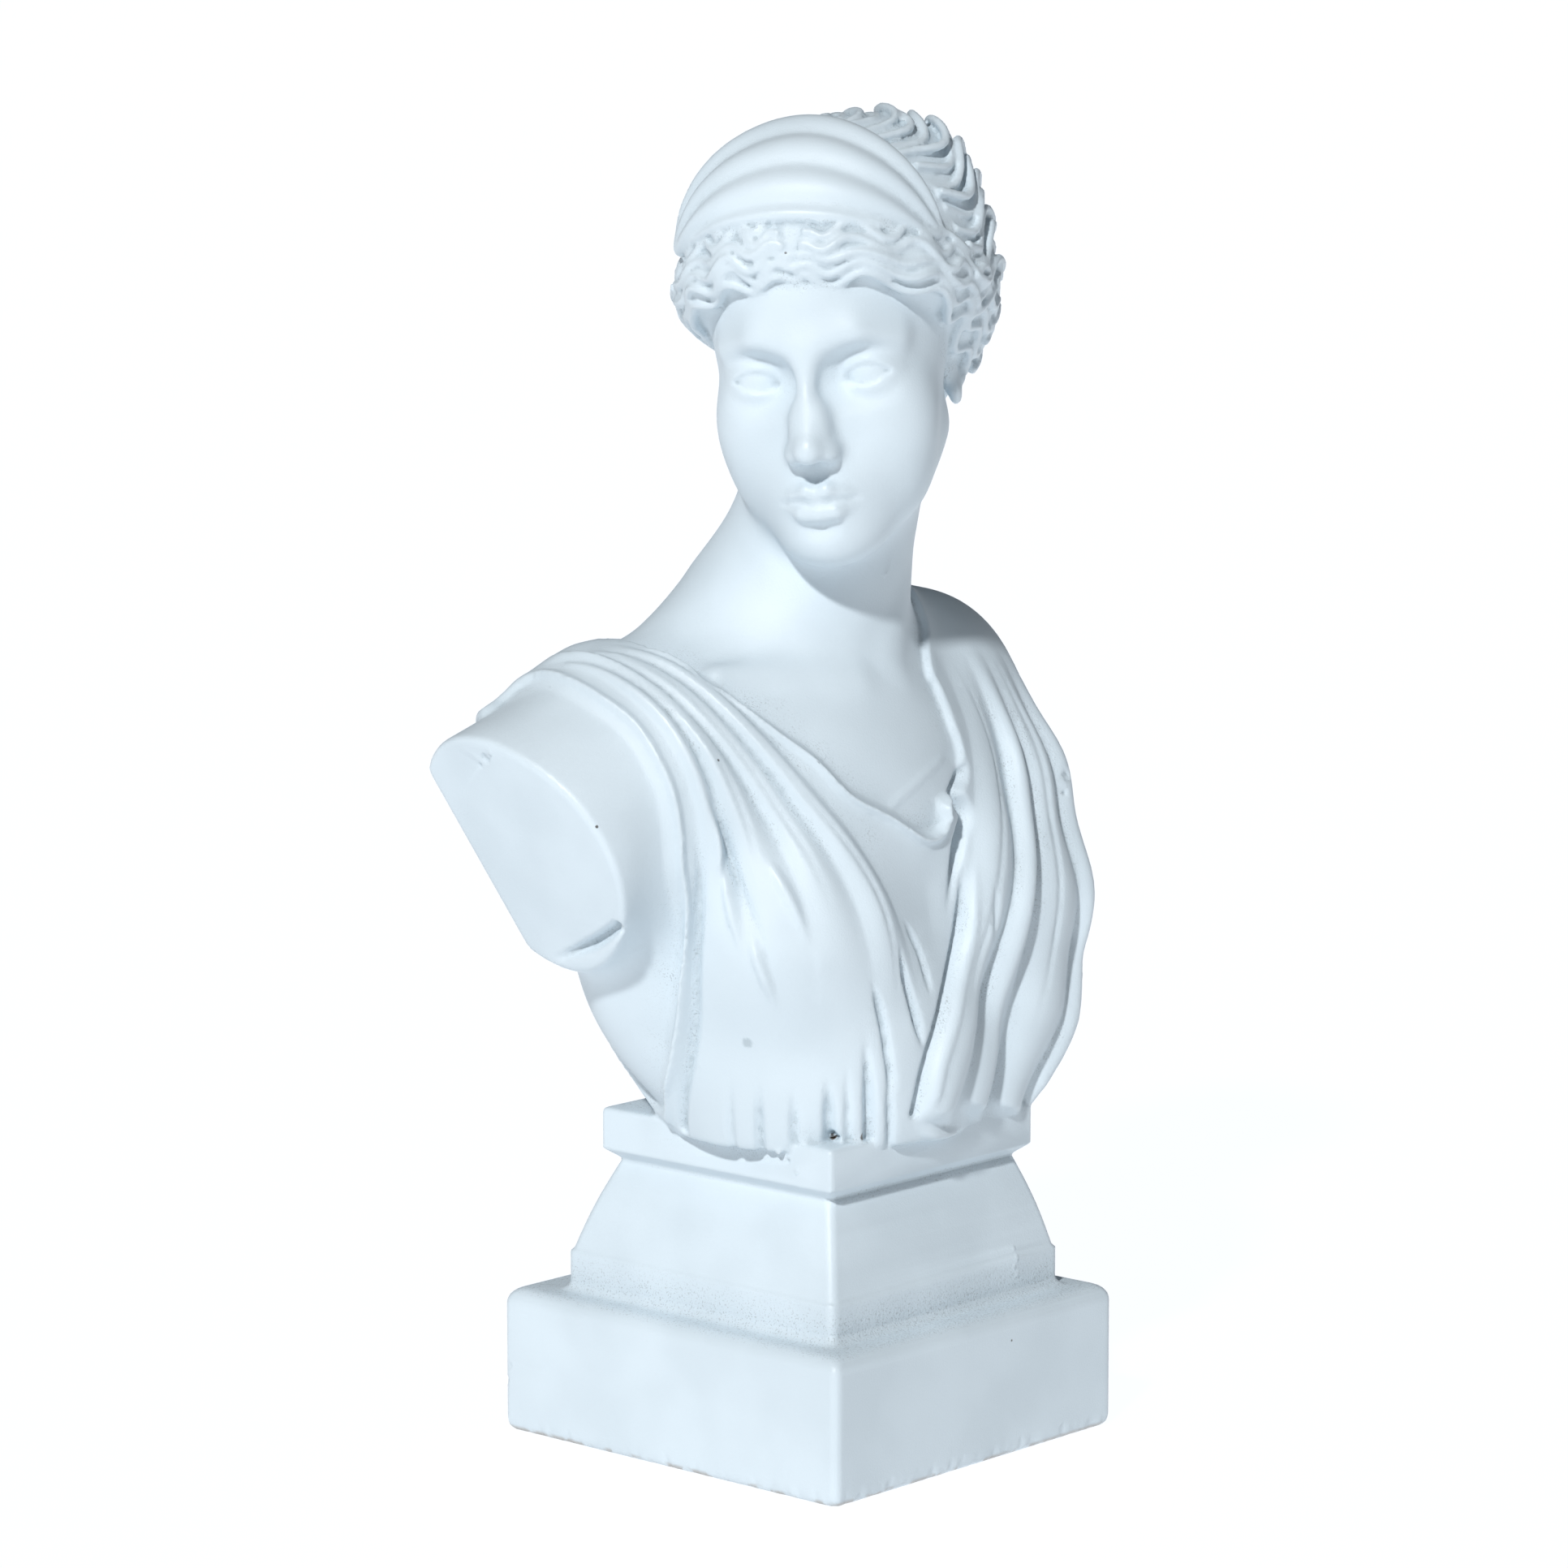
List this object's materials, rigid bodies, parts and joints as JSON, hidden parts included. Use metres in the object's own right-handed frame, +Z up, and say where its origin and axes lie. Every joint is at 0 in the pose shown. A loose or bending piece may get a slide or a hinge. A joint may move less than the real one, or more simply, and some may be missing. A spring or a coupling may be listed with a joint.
{
  "type": "draped bust on a plinth",
  "caption": "Plaster bust in the classical manner: head turned to its right, banded hair, draped chest, cut right arm, cast in one with a flared plinth.",
  "frame": {"origin": "middle of the plinth's underside, on the ground", "axes": "+Z up through the plinth to the crown, -Y the way the chest faces, -X the figure's right, where the arm is cut"},
  "size_m": [0.1515, 0.101, 0.2984],
  "materials": {
    "plaster": "matte casting plaster with a faint sheen on the rubbed crests"
  },
  "bodies": {
    "root": {"bust": "plaster"}
  },
  "joints": []
}
